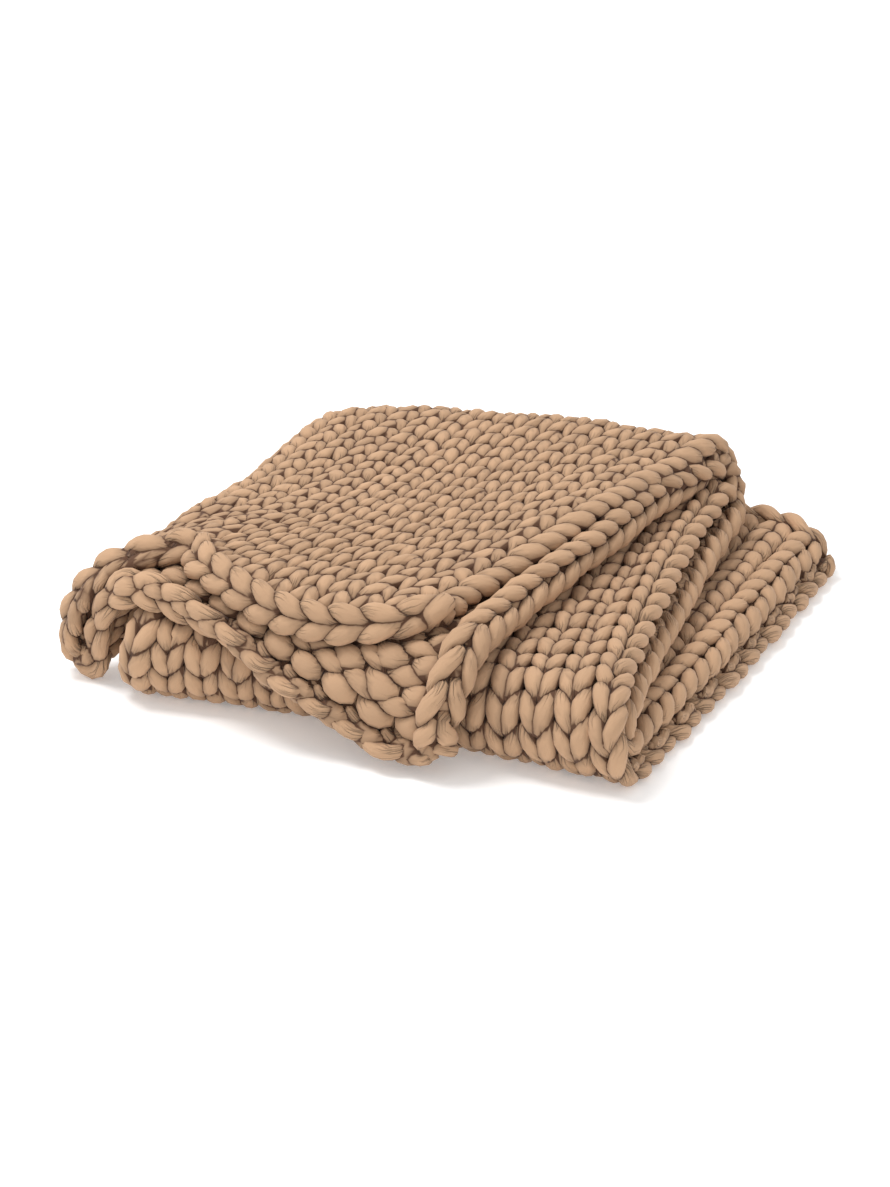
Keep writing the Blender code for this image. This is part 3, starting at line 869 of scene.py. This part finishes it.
def showing(surface):
    """Which stitches can be seen from outside the pile, and their neighbours."""
    grid = surface.grid[MARGIN:-MARGIN:2, MARGIN:-MARGIN:4]
    columns, rows, _ = grid.shape
    faces = []
    for c in range(columns - 1):
        for r in range(rows - 1):
            here = c * rows + r
            faces.append((here, here + rows, here + rows + 1, here + 1))
    tree = BVHTree.FromPolygons([tuple(p) for p in grid.reshape(-1, 3)], faces)
    turn = math.pi * (3 - math.sqrt(5))     # spreads the lines of sight evenly over a ball
    heights = 1 - 2 * (np.arange(SIGHT_LINES) + 0.5) / SIGHT_LINES
    radius = np.sqrt(1 - heights**2)
    directions = [Vector((r * math.cos(turn * k), r * math.sin(turn * k), h))
                  for k, (r, h) in enumerate(zip(radius, heights))]
    v, u = np.meshgrid(np.arange(WALES) + 0.5, np.arange(COURSES) + 0.5)
    place, _, _, normal = surface.frame(u, v)
    seen = np.zeros((COURSES, WALES), bool)
    for side in (-1, 1):
        starts = place + side * SIGHT_START * normal
        for i in range(COURSES):
            for j in range(WALES):
                if not seen[i, j]:
                    start = Vector(starts[i, j])
                    seen[i, j] = any(tree.ray_cast(start, direction, SIGHT_REACH)[0] is None
                                     for direction in directions)
    near = seen.copy()
    near[1:] |= seen[:-1]
    near[:-1] |= seen[1:]
    near[:, 1:] |= seen[:, :-1]
    near[:, :-1] |= seen[:, 1:]
    return near


def runs(row):
    """Stretches of equal values in a row: (first, past the last, value)."""
    edges = [0] + [k for k in range(1, len(row)) if row[k] != row[k - 1]] + [len(row)]
    return [(a, b, bool(row[a])) for a, b in zip(edges, edges[1:])]


def yarn_material():
    """Matt jersey, creased where it is squeezed, with painted shade in its creases and where it
    meets other yarn.
    """
    material = bpy.data.materials.new("jersey_tube_yarn")
    material.use_nodes = True
    nodes = material.node_tree.nodes
    links = material.node_tree.links
    shader = nodes["Principled BSDF"]
    shader.inputs["Roughness"].default_value = YARN_ROUGHNESS
    shader.inputs["Sheen Weight"].default_value = YARN_SHEEN
    shader.inputs["Sheen Roughness"].default_value = 0.5
    shader.inputs["Specular IOR Level"].default_value = YARN_SPECULAR

    def node(kind, **values):
        made = nodes.new(kind)
        for key, value in values.items():
            setattr(made, key, value)
        return made

    def attribute(name):
        return node("ShaderNodeAttribute", attribute_name=name)

    def maths(operation, a, b=None, clamp=False):
        made = node("ShaderNodeMath", operation=operation, use_clamp=clamp)
        for socket, value in zip(made.inputs, (a, b)):
            if value is None:
                continue
            if isinstance(value, (int, float)):
                socket.default_value = value
            else:
                links.new(value, socket)
        return made.outputs[0]

    def times(a, b):
        return maths("MULTIPLY", a, b)

    def rest(a):
        """What is missing to 1, and no less than 0."""
        return maths("SUBTRACT", 1.0, a, clamp=True)

    def noise(vector, kind):
        """A noise read at a vector, 0.5 on average."""
        mapping = node("ShaderNodeMapping")
        mapping.inputs["Scale"].default_value = kind.stretch
        links.new(vector, mapping.inputs["Vector"])
        made = node("ShaderNodeTexNoise")
        made.inputs["Scale"].default_value = kind.scale
        made.inputs["Detail"].default_value = kind.detail
        links.new(mapping.outputs[0], made.inputs["Vector"])
        return made.outputs["Fac"]

    yarn = attribute("yarn").outputs["Vector"]
    leg = attribute("leg").outputs["Fac"]
    tone = attribute("tone").outputs["Fac"]
    gap = attribute("gap").outputs["Fac"]
    place = node("ShaderNodeTexCoord").outputs["Object"]

    # creases run along the yarn where it is squeezed between a leg and a head
    line = maths("ABSOLUTE", maths("SUBTRACT", noise(yarn, CREASES), 0.5))
    groove = rest(times(line, CREASE_FINE))
    squeezed = maths("MULTIPLY", times(leg, rest(leg)), 4.0, clamp=True)
    crease = times(groove, maths("POWER", squeezed, CREASE_POWER))
    height = maths("ADD", times(crease, -1.0), times(noise(yarn, SWELLS), SWELL_HEIGHT))
    height = maths("ADD", height, times(noise(yarn, RIBS), RIB_HEIGHT))
    bump = node("ShaderNodeBump")
    bump.inputs["Strength"].default_value = BUMP_STRENGTH
    bump.inputs["Distance"].default_value = BUMP_DISTANCE
    links.new(height, bump.inputs["Height"])
    links.new(bump.outputs[0], shader.inputs["Normal"])

    # brightness: a little uneven from leg to leg, with painted shade in the creases and the
    # hollows
    cloudy = times(maths("SUBTRACT", noise(place, CLOUDS), 0.5), CLOUD_VALUE)
    value = maths("ADD", maths("ADD", PLAIN_VALUE, tone), cloudy)
    # painted shade in the creases
    value = maths("SUBTRACT", value, times(crease, CREASE_PAINTED_SHADE))
    value = maths("SUBTRACT", value, times(rest(leg), HEAD_DARKER))
    # painted shade in the hollows beside other yarn
    hollow = rest(times(gap, HOLLOW_NARROW))
    value = times(value, maths("SUBTRACT", 1.0, times(hollow, HOLLOW_DARKER)))
    hue = node("ShaderNodeHueSaturation")
    hue.inputs["Color"].default_value = YARN_COLOUR + (1.0,)
    links.new(value, hue.inputs["Value"])

    # and a dark line of painted shade where two yarns meet
    contact_shade = maths("POWER", rest(times(gap, CONTACT_SHADE_NARROW)), 2.0)
    contact_shade_mix = node("ShaderNodeMixRGB")
    contact_shade_mix.inputs["Color2"].default_value = CONTACT_SHADE_COLOUR + (1.0,)
    links.new(hue.outputs[0], contact_shade_mix.inputs["Color1"])
    links.new(times(contact_shade, CONTACT_SHADE_DARKER), contact_shade_mix.inputs["Fac"])
    links.new(contact_shade_mix.outputs[0], shader.inputs["Base Color"])
    return material


def dress(surface):
    """Builds the knitting and declares its pieces."""
    rng = np.random.default_rng(SEED)
    random = {name: Irregular(rng, spread) for name, spread in SPREADS.items()}
    material = yarn_material()
    seen = showing(surface)
    groups = []
    for first in range(0, COURSES, ROWS_PER_PIECE):
        tubes = []
        for course in range(first, min(first + ROWS_PER_PIECE, COURSES)):
            for a, b, fine in runs(seen[course]):
                detail = FINE if fine else PLAIN
                tubes.append(knit_run(surface, course, a, b, detail, random))
            if course > 0:
                tubes.append(selvedge_turn(surface, course, course % 2 == 1, FINE, random))
        groups.append(("courses_%02d" % first, tubes))
    chain = [chain_link(surface, link, FINE, random) for link in range(WALES)]
    groups.append(("bound_off_chain", chain + [corner_knot(surface, FINE)]))
    rope = [rope_strand(surface, strand, FINE, random) for strand in (0, 1)]
    groups.append(("cast_on_edge", rope))
    gaps = iter(seam_gaps([tube for _, tubes in groups for tube in tubes]))
    pieces = [tube_mesh(name, tubes, [next(gaps) for _ in tubes], material)
              for name, tubes in groups]
    for mesh in pieces:
        piece = bpy.data.objects.new(mesh.name, mesh)
        bpy.context.collection.objects.link(piece)
        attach(piece, "root")
        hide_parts("blanket")
    total = sum(len(face.vertices) - 2 for mesh in pieces for face in mesh.polygons)
    print("stitches that show:", int(seen.sum()), "triangles:", total)


def aim(item, target):
    """Turns a lamp or a camera towards a point."""
    item.rotation_euler = (Vector(target) - item.location).to_track_quat("-Z", "Y").to_euler()


def floor():
    """The pale floor that the blanket lies on, glowing a little: painted light that brightens the
    floor and its shadows and lights the blanket from below.
    """
    bpy.ops.mesh.primitive_plane_add(size=FLOOR_SIZE, location=(0.0, 0.0, 0.0))
    plane = bpy.context.object
    plane.name = "floor"
    material = bpy.data.materials.new("floor")
    material.use_nodes = True
    shader = material.node_tree.nodes["Principled BSDF"]
    shader.inputs["Base Color"].default_value = FLOOR_COLOUR + (1.0,)
    shader.inputs["Emission Color"].default_value = WHITE + (1.0,)
    # painted light: the floor glows a little
    shader.inputs["Emission Strength"].default_value = FLOOR_PAINTED_GLOW
    shader.inputs["Roughness"].default_value = 0.9
    shader.inputs["Specular IOR Level"].default_value = 0.1
    plane.data.materials.append(material)


def light(lamp):
    """A round soft lamp."""
    data = bpy.data.lights.new(lamp.name, "AREA")
    data.shape = "DISK"
    data.size = lamp.size
    data.energy = lamp.power
    item = bpy.data.objects.new(lamp.name, data)
    item.location = lamp.place
    bpy.context.collection.objects.link(item)
    aim(item, LAMP_TARGET)


def studio():
    """Floor, soft light and camera."""
    floor()
    world = bpy.data.worlds.new("studio")
    bpy.context.scene.world = world
    world.use_nodes = True
    background = world.node_tree.nodes["Background"]
    background.inputs["Color"].default_value = WHITE + (1.0,)
    background.inputs["Strength"].default_value = WORLD_LIGHT
    for lamp in LAMPS:
        light(lamp)
    bpy.context.scene.view_settings.view_transform = "Standard"

    camera = bpy.data.cameras.new("camera")
    camera.sensor_fit = "VERTICAL"
    camera.sensor_height = CAMERA_HEIGHT
    camera.lens = CAMERA_LENS
    camera.clip_end = 200.0
    item = bpy.data.objects.new("camera", camera)
    flat = CAMERA_FAR * math.cos(CAMERA_RISE)
    item.location = (CAMERA_TARGET[0] + flat * math.sin(CAMERA_TURN),
                     CAMERA_TARGET[1] - flat * math.cos(CAMERA_TURN),
                     CAMERA_TARGET[2] + CAMERA_FAR * math.sin(CAMERA_RISE))
    bpy.context.collection.objects.link(item)
    aim(item, CAMERA_TARGET)
    bpy.context.scene.camera = item


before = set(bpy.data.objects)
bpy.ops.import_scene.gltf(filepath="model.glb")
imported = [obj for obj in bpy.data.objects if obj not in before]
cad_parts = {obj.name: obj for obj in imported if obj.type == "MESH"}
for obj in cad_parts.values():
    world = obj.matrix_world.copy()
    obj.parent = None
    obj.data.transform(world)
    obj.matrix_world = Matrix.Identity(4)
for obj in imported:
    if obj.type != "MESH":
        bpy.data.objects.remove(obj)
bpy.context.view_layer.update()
dress(Surface(cloth_grid()))
studio()
